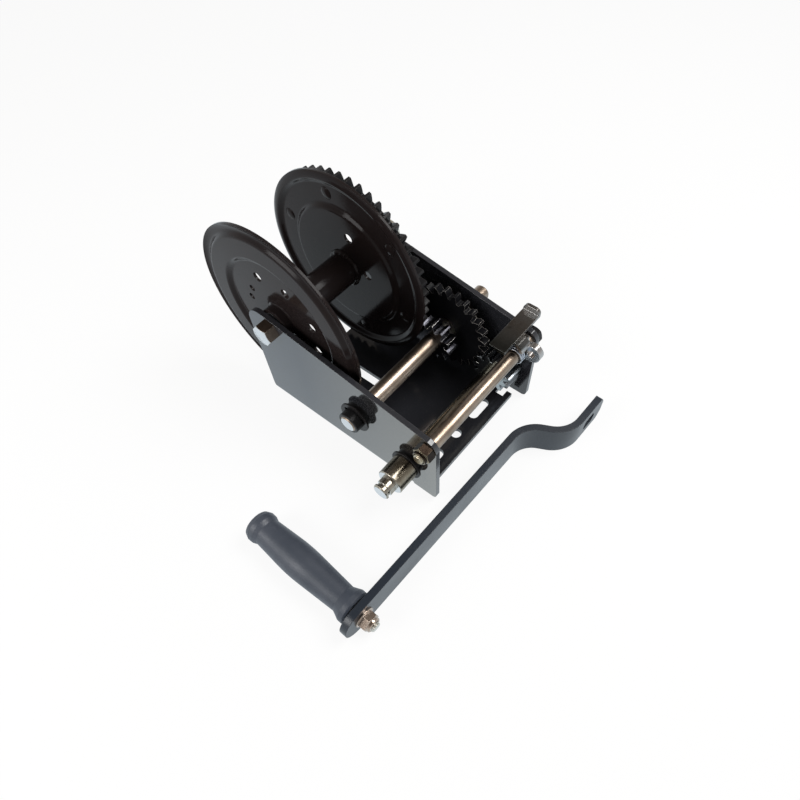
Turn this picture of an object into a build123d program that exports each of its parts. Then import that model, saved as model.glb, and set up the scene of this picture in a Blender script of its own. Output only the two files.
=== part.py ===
from build123d import *
import os
from math import atan2, cos, degrees, hypot, pi, radians, sin, tan

# Hand winch with two gear stages, an empty drum and a crank that lies on the floor in front.
# Millimetres. X runs along the shafts from the crank side to the gear side, -Y is the front, +Z is up.
# The underside of the base is Z = 0.

# Frame
SHEET = 5.0
WIDTH = 156.0
OUT = WIDTH / 2
IN = OUT - SHEET
LENGTH = 216.0
FRONT_Y = -LENGTH / 2
REAR_Y = LENGTH / 2
FRONT_H = 94.4
REAR_H = 125.7
BEND_R = 6.5
LIP_Y = FRONT_Y + 12.0
FREE_Y = FRONT_Y + 27.0
FREE_Z = 3.5
BASE_REAR_Y = REAR_Y - 10.0
NOTCHES = ((-53.4, -61.8), (57.4, 65.8))
SLOT_MID_X = -8.8
SLOT_STEP_X = 76.4
SLOT_LEN = 28.0
SLOT_R = 5.5
HOLES_Y = FRONT_Y + 28.7
REAR_SLOT_Y = 40.0
REAR_SLOT_LEN = 44.0

# Gear train: module, teeth and shaft centres (Y, Z)
MODULE = 3.5
PRESSURE = 25.0
DRUM_TEETH = 51
SMALL_TEETH = 11
MID_TEETH = 25
BACKLASH = 0.3
DRUM = (79.4, 111.2)
DRUM_TO_MID = 204.65
MID_TO_DRIVE = 201.2
DRUM_CD = MODULE * (DRUM_TEETH + SMALL_TEETH) / 2
DRIVE_CD = MODULE * (MID_TEETH + SMALL_TEETH) / 2
MID = (DRUM[0] + DRUM_CD * cos(radians(DRUM_TO_MID)), DRUM[1] + DRUM_CD * sin(radians(DRUM_TO_MID)))
DRIVE = (MID[0] + DRIVE_CD * cos(radians(MID_TO_DRIVE)), MID[1] + DRIVE_CD * sin(radians(MID_TO_DRIVE)))
TIE = (-98.9, 84.8)

# Drum
FLANGE_R = 94.5
FLANGE_T = 2.5
LEFT_FLANGE_X = -61.5
RIGHT_FLANGE_X = 20.5
PAN = 3.5
PAN_R = (59.5, 65.5, 82.5, 88.5)
CURL = 1.8
ROPE_HOLE_R = 4.6
CLAMP_HOLE_R = 3.2
CORE_R = 16.0
CORE_X0 = -71.8
GEAR_X0 = RIGHT_FLANGE_X + PAN + FLANGE_T
GEAR_T = 8.0
GEAR_X1 = GEAR_X0 + GEAR_T
GEAR_IN_R = 62.0
RIVET_PCD_R = 74.5
AXLE_R = 6.0

# Shafts
SHAFT_R = 8.5
FIT = 0.05
BUSH_R = 10.5
COLLAR_T = 4.0
MID_X = (-93.4, 114.0)
MID_PINION_X = (28.0, 42.0)
MID_GEAR_X = (52.0, 60.0)
DRIVE_X = (-119.2, 88.0)
DRIVE_PINION_X = (48.0, 69.0)
CLIP_X = OUT + COLLAR_T + 0.3
CLIP_T = 1.6
CLIP_R = 16.0
SLEEVE_X = (-106.3, -CLIP_X - CLIP_T - 0.3)
SLEEVE_R = 13.3
FLAT_HALF = 7.2
GROOVE = (-116.4, -113.6, 7.0)
TIE_BOLT_R = 5.0
TIE_TUBE_R = 6.75
TIE_NUT = (9.2, 11.9)

# Pawl spring: a wire coil round the tie spacer, with a straight leg at each end
WIRE_R = 0.9
COIL_R = 8.6
COIL_X0 = 47.9
COIL_PITCH = 2.4
COIL_TURNS = 3
LEG_UP = 17.15
LEG_DOWN = 10.0

# Crank, in its own frame: s along the arm from the grip bolt, n along the grip, z up
CRANK_AT = (-205.3, -128.1, 16.5)
CRANK_YAW = -1.5
ARM_W = 33.0
ARM_T = 7.0
ARM_S = (-21.5, 308.0)
ARM_OFFSET = -39.5
BEND_S = (229.3, 250.3)
HUB_S = 283.5
GRIP_BOLT_R = 5.0

os.makedirs("parts", exist_ok=True)


def save(shape, name):
    shape.label = name
    export_step(shape, "parts/" + name + ".step")


def group(solids):
    return Compound(children=list(solids))


def rod(x0, x1, r, c, hole=0.0):
    body = Pos((x0 + x1) / 2, c[0], c[1]) * Rot(0, 90, 0) * Cylinder(r, x1 - x0)
    if hole:
        body -= Pos((x0 + x1) / 2, c[0], c[1]) * Rot(0, 90, 0) * Cylinder(hole, x1 - x0 + 2)
    return body


def slab(face, x0, x1):
    return extrude(Plane.YZ.offset(x0) * face, amount=x1 - x0, dir=(1, 0, 0))


def block(x0, x1, y0, y1, z0, z1):
    return Pos((x0 + x1) / 2, (y0 + y1) / 2, (z0 + z1) / 2) * Box(x1 - x0, y1 - y0, z1 - z0)


def rounded(points):
    face = Polygon(*[(p[0], p[1]) for p in points], align=None)
    for u, w, r in points:
        if r:
            corner = face.vertices().sort_by_distance(Vector(u, w, 0))[0]
            face = fillet(corner, r)
    return face


def hexagon(x0, x1, flats, c, turn=0.0):
    face = RegularPolygon(flats / 2, 6, major_radius=False)
    return slab(Pos(c[0], c[1]) * Rot(0, 0, turn) * face, x0, x1)


def gear_face(teeth, phase, bore):
    pitch = MODULE * teeth / 2
    base = pitch * cos(radians(PRESSURE))
    tip = pitch + 0.85 * MODULE
    root = pitch - 1.12 * MODULE

    def inv(r):
        if r <= base:
            return 0.0
        a = (r * r / base / base - 1) ** 0.5
        return a - atan2(a, 1)

    half_pitch = pi / 2 / teeth - BACKLASH / 2 / pitch + inv(pitch)
    low = max(root + 0.2, base)
    radii = [low, (low + pitch) / 2, pitch, (pitch + tip) / 2, tip]
    pts = []
    for i in range(teeth):
        mid = radians(phase) + 2 * pi * i / teeth
        foot = half_pitch - inv(low)
        side = [(root, foot + 0.15 * MODULE / root)] + [(r, half_pitch - inv(r)) for r in radii]
        for r, a in side:
            pts.append((r * cos(mid - a), r * sin(mid - a)))
        for r, a in reversed(side):
            pts.append((r * cos(mid + a), r * sin(mid + a)))
    return Polygon(*pts, align=None) - Circle(bore)


def clip(x0, c, turn):
    ring = Circle(CLIP_R) - Circle(SHAFT_R)
    ring -= Pos(0, -13) * Rectangle(13.0, 18)
    for a in (30, 150):
        ring -= Pos(9.6 * cos(radians(a)), 9.6 * sin(radians(a))) * Circle(3.2)
    return slab(Pos(c[0], c[1]) * Rot(0, 0, turn) * ring, x0, x0 + CLIP_T)


def clip_pair(c):
    return group([clip(-CLIP_X - CLIP_T, c, 10), clip(CLIP_X, c, 60)])


# Frame: one bent sheet
def frame():
    shell = rounded([
        (-OUT, 0, BEND_R), (OUT, 0, BEND_R), (OUT, 140, 0), (IN, 140, 0),
        (IN, SHEET, BEND_R - SHEET), (-IN, SHEET, BEND_R - SHEET), (-IN, 140, 0), (-OUT, 140, 0),
    ])
    body = extrude(Plane.XZ.offset(-REAR_Y) * shell, amount=LENGTH, dir=(0, -1, 0))
    outline = [(FRONT_Y, 0, 5), (FRONT_Y, FRONT_H, 11), (REAR_Y, REAR_H, 16), (REAR_Y, 0, 10)]
    side = slab(rounded(outline), -OUT, OUT)
    corner = rounded([(FRONT_Y, FREE_Z, 5), (FRONT_Y, 30, 0), (FREE_Y, 30, 0), (FREE_Y, FREE_Z, 0)])
    body &= side
    for s, notch in zip((-1, 1), NOTCHES):
        x0, x1 = sorted((s * OUT, notch[0]))
        body -= block(x0, x1, FRONT_Y + 18, FREE_Y, -1, 15)
        x0, x1 = sorted((s * OUT, notch[1]))
        body -= block(x0, x1, FRONT_Y - 1, FREE_Y, -1, 15)
        x0, x1 = sorted((s * OUT, s * IN))
        body += slab(corner, x0, x1)
    body -= block(-IN, IN, FRONT_Y - 1, LIP_Y, -1, 15)
    body -= block(-IN, IN, BASE_REAR_Y, REAR_Y + 1, -1, 15)
    for x in (SLOT_MID_X - SLOT_STEP_X / 2, SLOT_MID_X + SLOT_STEP_X / 2):
        body -= Pos(x, HOLES_Y, 0) * extrude(SlotOverall(SLOT_LEN, 2 * SLOT_R), amount=10, both=True)
    body -= Pos(SLOT_MID_X, HOLES_Y, 0) * Cylinder(SLOT_R, 20)
    rear = SlotOverall(REAR_SLOT_LEN, 2 * SLOT_R - 0.5, rotation=90)
    body -= Pos(SLOT_MID_X, REAR_SLOT_Y, 0) * extrude(rear, amount=10, both=True)
    for c, r in ((DRUM, AXLE_R), (MID, BUSH_R), (DRIVE, BUSH_R), (TIE, TIE_BOLT_R)):
        body -= rod(-OUT - 1, OUT + 1, r, c)
    return body


save(frame(), "frame")

# Fixed hardware
bolt = rod(-OUT - 13.6, OUT, TIE_BOLT_R, TIE) + hexagon(OUT, OUT + 6.5, 16.0, TIE, 12)
save(bolt, "tie_bolt")
save(rod(-IN, IN, TIE_TUBE_R, TIE, TIE_BOLT_R), "tie_spacer")
nut = hexagon(-OUT - TIE_NUT[0], -OUT, 16.0, TIE, 12) + rod(-OUT - TIE_NUT[1], -OUT - TIE_NUT[0], 7.2, TIE)
save(nut - rod(-OUT - 14, -OUT + 1, TIE_BOLT_R, TIE), "tie_nut")
axle = rod(-OUT, OUT + 16.0, AXLE_R, DRUM) + hexagon(-OUT - 12.0, -OUT, 19.0, DRUM, 8)
save(axle, "drum_axle_bolt")
save(rod(OUT, OUT + 2.5, 12.0, DRUM, AXLE_R), "drum_axle_washer")
save(hexagon(OUT + 2.5, OUT + 13.0, 19.0, DRUM, 20) - rod(OUT, OUT + 14, AXLE_R, DRUM), "drum_axle_nut")
save(rod(GEAR_X1 + 1.0, IN, 11.0, DRUM, AXLE_R), "drum_axle_spacer")
bushes = []
for c in (MID, DRIVE):
    for s in (-1, 1):
        x0, x1 = sorted((s * IN, s * OUT))
        sleeve = rod(x0, x1, BUSH_R, c, SHAFT_R + FIT)
        x0, x1 = sorted((s * OUT, s * (OUT + COLLAR_T)))
        bushes.append(sleeve + rod(x0, x1, 13.4, c, SHAFT_R + FIT))
save(group(bushes), "shaft_bushes")


# Drum: each flange is a stamped disc whose ring for the gear stands proud of the middle
def rise(r, r0, r1):
    t = min(max((r - r0) / (r1 - r0), 0), 1)
    return (1 - cos(pi * t)) / 2


def flange_bow(r):
    a, b, c, d = PAN_R
    rim = max((r - d) / (FLANGE_R - d), 0)
    return PAN * (rise(r, a, b) - rise(r, c, d)) + CURL * rim ** 2


def flange(mirrored):
    a, b, c, d = PAN_R
    radii = [CORE_R]
    for r0, r1, steps in ((a, b, 6), (c, d, 6)):
        radii += [r0 + (r1 - r0) * i / steps for i in range(steps + 1)]
    radii += [d + (FLANGE_R - d) * i / 4 for i in range(1, 5)]
    near = [(flange_bow(r), r) for r in radii]
    far = [(x + FLANGE_T, r) for x, r in reversed(near)]
    body = revolve(Polygon(*far, *near, align=None), axis=Axis.X)
    if mirrored:
        body = mirror(body, about=Plane.YZ)
    return body


def on_drum(r, a):
    return (DRUM[0] + r * cos(radians(a)), DRUM[1] + r * sin(radians(a)))


left = Pos(LEFT_FLANGE_X, DRUM[0], DRUM[1]) * flange(True)
for a in (67.0, 112.0, 158.5, 197.0):
    left -= rod(LEFT_FLANGE_X - 20, LEFT_FLANGE_X + 20, ROPE_HOLE_R, on_drum(44.0, a))
for a in (10.8, 32.2):
    left -= rod(LEFT_FLANGE_X - 20, LEFT_FLANGE_X + 20, CLAMP_HOLE_R, on_drum(37.0, a))
save(left, "drum_flange_left")
right = Pos(RIGHT_FLANGE_X, DRUM[0], DRUM[1]) * flange(False)
for r, a in ((40.0, 104.5), (30.0, 168.7)):
    right -= rod(10, 40, ROPE_HOLE_R, on_drum(r, a))
tooth_phase = DRUM_TO_MID + 180 / DRUM_TEETH
teeth = slab(Pos(*DRUM) * gear_face(DRUM_TEETH, tooth_phase, GEAR_IN_R), GEAR_X0, GEAR_X1)
rivets = []
for i in range(6):
    c = on_drum(RIVET_PCD_R, 20 + 60 * i)
    right -= rod(10, 40, 4.0, c)
    teeth -= rod(10, 40, 4.0, c)
    head = RIGHT_FLANGE_X + PAN
    rivets.append(rod(head, GEAR_X1, 4.0, c) + rod(head - 1.4, head, 6.0, c))
save(right, "drum_flange_right")
save(teeth, "drum_gear")
save(group(rivets), "gear_rivets")
save(rod(CORE_X0, GEAR_X1, CORE_R, DRUM, 12.0), "drum_core")
bushes = [rod(a, a + 16.0, 12.0, DRUM, AXLE_R + FIT) for a in (CORE_X0, GEAR_X1 - 16.0)]
save(group(bushes), "drum_bushes")


# Intermediate shaft
def shaft_end_flats(x0, x1, c, turn=0):
    tools = []
    for s in (-1, 1):
        tool = Pos(0, 0, s * (FLAT_HALF + 10)) * Box(x1 - x0, 40, 20)
        tools.append(Pos((x0 + x1) / 2, c[0], c[1]) * Rot(turn, 0, 0) * tool)
    return tools


shaft = rod(*MID_X, SHAFT_R, MID)
shaft = chamfer(shaft.edges().filter_by(GeomType.CIRCLE), 1.2)
for tool in shaft_end_flats(MID_X[1] - 16, MID_X[1] + 1, MID, 90):
    shaft -= tool
save(shaft, "intermediate_shaft")
small = gear_face(SMALL_TEETH, DRUM_TO_MID + 180, SHAFT_R)
save(slab(Pos(*MID) * small, *MID_PINION_X), "intermediate_pinion")
save(rod(MID_PINION_X[1], MID_GEAR_X[0], 12.0, MID, SHAFT_R), "intermediate_collar")
save(slab(Pos(*MID) * gear_face(MID_TEETH, MID_TO_DRIVE, SHAFT_R), *MID_GEAR_X), "intermediate_gear")
save(clip_pair(MID), "intermediate_clips")
end_collar = rod(MID_X[0] + 1.0, SLEEVE_X[1], 11.0, MID, SHAFT_R)
save(chamfer(end_collar.edges().filter_by(GeomType.CIRCLE).sort_by(Axis.X)[0], 0.6), "intermediate_end_collar")

# Drive shaft
shaft = rod(*DRIVE_X, SHAFT_R, DRIVE)
shaft = chamfer(shaft.edges().filter_by(GeomType.CIRCLE), 1.2)
for tool in shaft_end_flats(DRIVE_X[0] - 1, SLEEVE_X[0], DRIVE, 90):
    shaft -= tool
shaft -= rod(GROOVE[0], GROOVE[1], 10.0, DRIVE, GROOVE[2])
save(shaft, "drive_shaft")
sleeve = rod(*SLEEVE_X, SLEEVE_R, DRIVE, SHAFT_R)
save(chamfer(sleeve.edges().filter_by(GeomType.CIRCLE).sort_by(Axis.X)[0], 0.8), "drive_sleeve")
small = gear_face(SMALL_TEETH, MID_TO_DRIVE + 180 + 180 / SMALL_TEETH, SHAFT_R)
save(slab(Pos(*DRIVE) * small, *DRIVE_PINION_X), "drive_pinion")
save(clip_pair(DRIVE), "drive_clips")


# Pawl on the tie spacer
def pawl():
    x0, x1 = 57.0, 63.5
    eye = (FRONT_Y - 4.0, 88.5)
    plate = slab(Pos(*TIE) * Circle(10.0) + Pos(*eye) * Circle(9.5), x0, x1)
    neck = rounded([(eye[0], eye[1] - 9, 0), (TIE[0], TIE[1] - 9, 0), (TIE[0], 95, 0), (eye[0], 97.5, 0)])
    plate += slab(neck, x0, x1)
    web = rounded([(TIE[0] - 8, TIE[1], 0), (TIE[0] + 9, TIE[1], 0), (-84.0, 102.5, 0), (-104.0, 102.5, 0)])
    plate += slab(web, x0, x1)
    a = atan2(DRIVE[1] - TIE[1], DRIVE[0] - TIE[0])
    reach = hypot(DRIVE[0] - TIE[0], DRIVE[1] - TIE[1]) - MODULE * (SMALL_TEETH / 2 + 0.85) - 0.7
    nose = Polygon((0, -9), (0, 9), (reach, 2), (reach - 1.5, -3), align=None)
    plate += slab(Pos(*TIE) * Rot(0, 0, degrees(a)) * nose, x0, x1)
    tab = block(31.0, 89.0, -99.0, -82.0, 102.0, 105.5)
    tab += slab(rounded([(-99, 103, 0), (-82, 103, 0), (-82, 111.5, 5), (-99, 111.5, 5)]), 85.5, 89.0)
    wrap = Polygon((-98, 105.5), (-103, 104.6), (-107, 101.5), (-109, 97), (-105.6, 96), (-104, 99.2),
                   (-101, 101.4), (-98, 102), align=None)
    plate += tab + slab(wrap, 46.0, 59.0)
    plate -= rod(50, 70, TIE_TUBE_R + FIT, TIE)
    plate -= rod(50, 70, 4.0, eye)
    return plate


save(pawl(), "pawl_lever")


def coil_point(turn):
    a = 2 * pi * turn
    return Vector(COIL_X0 + COIL_PITCH * turn, TIE[0] + COIL_R * cos(a), TIE[1] + COIL_R * sin(a))


def coil_heading(turn):
    a = 2 * pi * turn
    return Vector(COIL_PITCH / 2 / pi, -COIL_R * sin(a), COIL_R * cos(a)).normalized()


def biarc(p0, t0, p1, t1):
    chord = p1 - p0
    lean = chord.dot(t0 + t1)
    k = 2 * (1 - t0.dot(t1))
    d = ((lean * lean + k * chord.dot(chord)) ** 0.5 - lean) / k
    mid = (p0 + p1 + (t0 - t1) * d) * 0.5
    heading = (p1 - t1 * d) - (p0 + t0 * d)
    return [TangentArc(p0, mid, tangent=t0), TangentArc(mid, p1, tangent=heading)]


def spring():
    first, last = coil_point(0), coil_point(COIL_TURNS)
    foot = first - coil_heading(0) * LEG_DOWN
    route = [Line(foot, first)]
    for i in range(4 * COIL_TURNS):
        a, b = i / 4, (i + 1) / 4
        route += biarc(coil_point(a), coil_heading(a), coil_point(b), coil_heading(b))
    route.append(Line(last, last + coil_heading(COIL_TURNS) * LEG_UP))
    wire = Wire(route)
    section = Plane(origin=foot, z_dir=coil_heading(0)) * RegularPolygon(WIRE_R, 8)
    marks = [wire.position_at(i / 400) for i in range(401)]
    apart = int(400 * 2 * pi * COIL_R / wire.length * 0.6)
    nearest = min((marks[i] - marks[j]).length for i in range(401) for j in range(i + apart, 401))
    print("least gap between the spring's turns", round(nearest - 2 * WIRE_R, 2), "mm")
    return sweep(section, path=wire)


save(spring(), "pawl_spring")


# Crank
def place(shape):
    return Pos(*CRANK_AT) * Rot(0, 0, CRANK_YAW) * shape


def arm():
    h = ARM_T / 2
    s0, s1 = ARM_S
    b0, b1 = BEND_S
    n = ARM_OFFSET
    k = h * tan(atan2(n, b1 - b0) / 2)
    strip = rounded([
        (s0 - 2, h, 0), (b0 - k, h, 33.5), (b1 - k, n + h, 26.5), (s1 + 2, n + h, 0),
        (s1 + 2, n - h, 0), (b1 + k, n - h, 33.5), (b0 + k, -h, 26.5), (s0 - 2, -h, 0),
    ])
    bar = Pos(0, 0, -ARM_W / 2) * extrude(strip, amount=ARM_W, dir=(0, 0, 1))
    w = ARM_W / 2
    outline = rounded([
        (s0, -w, w - 0.2), (s1 - 5, -w, 3), (s1, -w / 2, 9),
        (s1, w / 2, 9), (s1 - 5, w, 3), (s0, w, w - 0.2),
    ])
    bar &= Pos(0, 60, 0) * Rot(90, 0, 0) * extrude(outline, amount=120, dir=(0, 0, 1))
    bar -= Rot(90, 0, 0) * Cylinder(GRIP_BOLT_R, 40)
    hole = Circle(SHAFT_R + 0.8) & Rectangle(40, 2 * FLAT_HALF + 0.8)
    bar -= Pos(HUB_S, ARM_OFFSET + 10, 0) * Rot(90, 0, 0) * extrude(hole, amount=20)
    return bar


save(place(arm()), "crank_arm")


def along_grip(n0, n1, r):
    return Pos(0, (n0 + n1) / 2, 0) * Rot(90, 0, 0) * Cylinder(r, n1 - n0)


bolt = along_grip(-19.0, 121.0, GRIP_BOLT_R) + along_grip(121.0, 126.0, 8.0)
save(place(bolt), "grip_bolt")
hexagon_face = RegularPolygon(8.0, 6, major_radius=False, rotation=10)
nut = Pos(0, -ARM_T / 2, 0) * Rot(90, 0, 0) * extrude(hexagon_face, amount=8.4)
save(place(nut - along_grip(-15, 0, GRIP_BOLT_R)), "grip_nut")
save(place(along_grip(ARM_T / 2, 4.9, 9.0) - along_grip(3, 7, GRIP_BOLT_R)), "grip_washer")


def grip():
    bore = GRIP_BOLT_R + FIT
    edge = Polyline((bore, 5.6), (14.6, 5.6), (16.0, 7.4), (16.0, 12.0), (14.9, 14.6), (12.7, 20.0),
                    (15.3, 60.0))
    edge += ThreePointArc((15.3, 60.0), (15.73, 73.0), (15.3, 86.0))
    edge += Polyline((15.3, 86.0), (13.4, 114.0), (15.2, 118.5), (15.4, 123.0), (13.6, 127.4), (9.2, 129.6),
                     (9.0, 129.6), (9.0, 120.7), (bore, 120.7), (bore, 5.6))
    return revolve(make_face(edge), axis=Axis.Y)


save(place(grip()), "grip")
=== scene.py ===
# %% [markdown]
# # A hand winch, dressed for its picture
# The solids of this winch come from a CAD model, at real size, in metres. They are loaded first and are
# never moved. What follows gives them their finishes, swaps the plain bolts, nuts, rivets and spring for
# finer ones, adds the beads of weld on the drum, and sets the floor, the light and the camera.

# %% Load the solids
from math import cos, pi, radians, sin, sqrt, tan

import bpy
from mathutils import Matrix, Vector


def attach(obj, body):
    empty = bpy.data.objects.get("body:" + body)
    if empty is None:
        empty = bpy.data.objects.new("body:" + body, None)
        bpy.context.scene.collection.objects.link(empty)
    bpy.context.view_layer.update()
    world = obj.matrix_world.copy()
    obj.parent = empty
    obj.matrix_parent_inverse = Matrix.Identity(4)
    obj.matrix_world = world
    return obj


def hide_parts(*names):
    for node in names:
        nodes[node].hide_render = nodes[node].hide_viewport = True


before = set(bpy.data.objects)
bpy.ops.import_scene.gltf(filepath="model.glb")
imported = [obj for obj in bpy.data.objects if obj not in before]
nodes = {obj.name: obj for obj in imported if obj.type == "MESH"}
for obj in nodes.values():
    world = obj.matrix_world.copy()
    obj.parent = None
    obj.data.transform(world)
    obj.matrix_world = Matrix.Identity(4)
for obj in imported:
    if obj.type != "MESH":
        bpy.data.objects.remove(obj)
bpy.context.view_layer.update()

# %% [markdown]
# ## Short words for node trees
# The floor, the sky and every finish are node trees. Each node could be added and linked by hand, at
# three lines apiece. These helpers do it in one call, so that a tree below reads like a sum. A source is
# linked where it is the socket of another node, and is set as a constant where it is a number or a
# colour.


# %% Helpers: add a node, feed its sockets
def node(tree, kind, **values):
    made = tree.nodes.new(kind)
    for key, value in values.items():
        setattr(made, key, value)
    return made


def feed(tree, socket, source):
    if hasattr(source, "is_linked"):
        tree.links.new(source, socket)
    elif socket.type == "RGBA":
        socket.default_value = (*source, 1)
    else:
        socket.default_value = source


def feed_in_order(tree, made, *sources):
    for socket, source in zip(made.inputs, sources):
        feed(tree, socket, source)
    return made.outputs[0]


# %% Helpers: sums, ranges and mixes
MIX_SHARE, MIX_FIRST, MIX_SECOND, MIX_RESULT = 0, 6, 7, 2


def calc(tree, operation, *sources, clamp=False):
    return feed_in_order(tree, node(tree, "ShaderNodeMath", operation=operation, use_clamp=clamp), *sources)


def times(tree, first, second, clamp=False):
    return calc(tree, "MULTIPLY", first, second, clamp=clamp)


def plus(tree, first, second, clamp=False):
    return calc(tree, "ADD", first, second, clamp=clamp)


def span(tree, value, reach, result=(0.0, 1.0)):
    return feed_in_order(tree, node(tree, "ShaderNodeMapRange"), value, *reach, *result)


def blend(tree, share, first, second):
    made = node(tree, "ShaderNodeMix", data_type="RGBA")
    feed(tree, made.inputs[MIX_SHARE], share)
    feed(tree, made.inputs[MIX_FIRST], first)
    feed(tree, made.inputs[MIX_SECOND], second)
    return made.outputs[MIX_RESULT]


# %% [markdown]
# ## The stage
# Pictures of hardware are taken on a white table. A plain pale floor does that job here. The camera, the
# shiny metal and clear things see it as white, while the lamps still draw the winch's soft shadow on it.
# Brighter lamps would whiten it too, but would also fade the winch. Light Path tells the rays apart, so
# the white costs no extra light. White paper under a cool lamp is faintly blue. The camera can't show
# that in a white so bright, but its mirror image in black paint does.

# %% Floor
FLOOR_SIZE, FLOOR_DROP, GLOW_SHARE = 7.0, 0.0002, 0.9
PAPER, WHITE, COOL_WHITE = (0.95, 0.95, 0.95), (1, 1, 1), (0.85, 0.94, 1)
bpy.ops.object.select_all(action="DESELECT")
bpy.ops.mesh.primitive_plane_add(size=FLOOR_SIZE, location=(0, 0, -FLOOR_DROP))
floor = bpy.context.object
floor.name = "floor"
paper = bpy.data.materials.new("white_floor")
paper.use_nodes = True
tree = paper.node_tree
tree.nodes.clear()
rays = node(tree, "ShaderNodeLightPath").outputs
seen = calc(tree, "MAXIMUM", rays["Is Camera Ray"], rays["Is Glossy Ray"])
seen = calc(tree, "MAXIMUM", seen, rays["Is Transmission Ray"])
matt = node(tree, "ShaderNodeBsdfDiffuse")
feed(tree, matt.inputs["Color"], PAPER)
glow = node(tree, "ShaderNodeEmission")
feed(tree, glow.inputs["Color"], blend(tree, rays["Is Glossy Ray"], WHITE, COOL_WHITE))
mix = node(tree, "ShaderNodeMixShader")
feed_in_order(tree, mix, times(tree, seen, GLOW_SHARE), matt.outputs[0], glow.outputs[0])
feed(tree, node(tree, "ShaderNodeOutputMaterial").inputs["Surface"], mix.outputs[0])
floor.data.materials.append(paper)
print("floor", tuple(round(x, 2) for x in floor.dimensions))

# %% [markdown]
# ## Light
# Black paint shows little colour of its own. What the eye reads is the mirror image of the room in it, so
# the room matters more than the lamps. A picture of a real studio could be the sky, but a plain ramp is
# enough: pale near the horizon and dim overhead, which keeps the tops of black plates black.

# %% Sky
HORIZON, OVERHEAD = (0.05, (0.82, 0.83, 0.85, 1)), (0.8, (0.17, 0.15, 0.13, 1))
world = bpy.data.worlds.new("studio")
bpy.context.scene.world = world
world.use_nodes = True
tree = world.node_tree
tree.nodes.clear()
ramp = node(tree, "ShaderNodeValToRGB")
for stop, (height, tone) in zip(ramp.color_ramp.elements, (HORIZON, OVERHEAD)):
    stop.position = height
    stop.color = tone
way = node(tree, "ShaderNodeSeparateXYZ")
feed(tree, way.inputs[0], node(tree, "ShaderNodeTexCoord").outputs["Generated"])
feed(tree, ramp.inputs[0], way.outputs["Z"])
backdrop = node(tree, "ShaderNodeBackground")
feed(tree, backdrop.inputs["Color"], ramp.outputs[0])
feed(tree, node(tree, "ShaderNodeOutputWorld").inputs[0], backdrop.outputs[0])
bpy.context.scene.view_settings.view_transform = "Standard"
print("sky", world.name)

# %% [markdown]
# Soft boxes light such a picture. A point lamp would give hard shadows and a dot on each shaft, so both
# lamps are squares. The one high at the right draws the long streak on each shaft, and a weaker one
# stands at the left.

# %% Lamps
SOFT_BOX, AIM = 0.6, Vector((0, 0, 0.08))


def lamp(name, place, watts):
    light = bpy.data.lights.new(name, "AREA")
    light.shape = "RECTANGLE"
    light.size = light.size_y = SOFT_BOX
    light.energy = watts
    thing = bpy.data.objects.new(name, light)
    bpy.context.scene.collection.objects.link(thing)
    thing.location = place
    thing.rotation_euler = (AIM - Vector(place)).to_track_quat("-Z", "Y").to_euler()


lamp("top_lamp", (0.42, -0.48, 1.05), watts=10)
lamp("left_lamp", (-1.0, 0.35, 0.75), watts=7)

# %% [markdown]
# ## Camera
# The picture was taken from above and from the left front corner. The numbers below were fitted to the
# straight edges of the plates and the round rims of the drum. A camera looks along its own -Z. It could
# be aimed with a constraint, but its small roll is easier to give directly, as three axes: to the right,
# up, and back.

# %% Camera
TURN, RISE, ROLL = radians(-50.397), radians(59.046), radians(-1.387)
CAMERA_PLACE = Vector((-0.27233, -0.2594, 0.51085))
SENSOR, LENS, SHIFT_X, SHIFT_Y, NEAREST = 36.0, 26.753, -0.0340, 0.0575, 0.01
back = Vector((sin(TURN) * cos(RISE), -cos(TURN) * cos(RISE), sin(RISE)))
right = Vector((cos(TURN), sin(TURN), 0))
up = back.cross(right)
right, up = right * cos(ROLL) + up * sin(ROLL), up * cos(ROLL) - right * sin(ROLL)
lens = bpy.data.cameras.new("camera")
lens.sensor_width = SENSOR
lens.lens = LENS
lens.shift_x = SHIFT_X
lens.shift_y = SHIFT_Y
lens.clip_start = NEAREST
camera = bpy.data.objects.new("camera", lens)
bpy.context.scene.collection.objects.link(camera)
camera.matrix_world = Matrix.Translation(CAMERA_PLACE) @ Matrix((right, up, back)).transposed().to_4x4()
bpy.context.scene.camera = camera
print("camera at", [round(x, 3) for x in camera.matrix_world.translation])

# %% [markdown]
# ## Shared effects for the finishes
# Several finishes need the same few effects: a soft line of light along sharp edges, small variations in
# gloss, fine bumps and rubbed corners. They could be painted by hand on each piece. Instead each effect
# is a node group, built once and placed in each material with its own numbers. A group gives out only
# what changes over a surface. Constant values go straight on the shader.


# %% Helpers: places, directions and patterns on a surface
def spot(tree):
    return node(tree, "ShaderNodeTexCoord").outputs["Object"]


def xyz(tree, vector):
    made = node(tree, "ShaderNodeSeparateXYZ")
    feed(tree, made.inputs[0], vector)
    return made.outputs


def facing(tree):
    return xyz(tree, node(tree, "ShaderNodeNewGeometry").outputs["Normal"])


def noise(tree, place, scale, detail=2.0, rough=0.5):
    made = node(tree, "ShaderNodeTexNoise")
    for label, source in (("Vector", place), ("Scale", scale), ("Detail", detail), ("Roughness", rough)):
        feed(tree, made.inputs[label], source)
    return made.outputs[0]


def stretched(tree, place, factors):
    made = node(tree, "ShaderNodeMapping")
    feed(tree, made.inputs["Vector"], place)
    feed(tree, made.inputs["Scale"], factors)
    return made.outputs[0]


# %% Helper: an empty group with its sockets
FLOAT, COLOR, VECTOR = "NodeSocketFloat", "NodeSocketColor", "NodeSocketVector"
RESULTS = {"Color": COLOR, "Normal": VECTOR}


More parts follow.
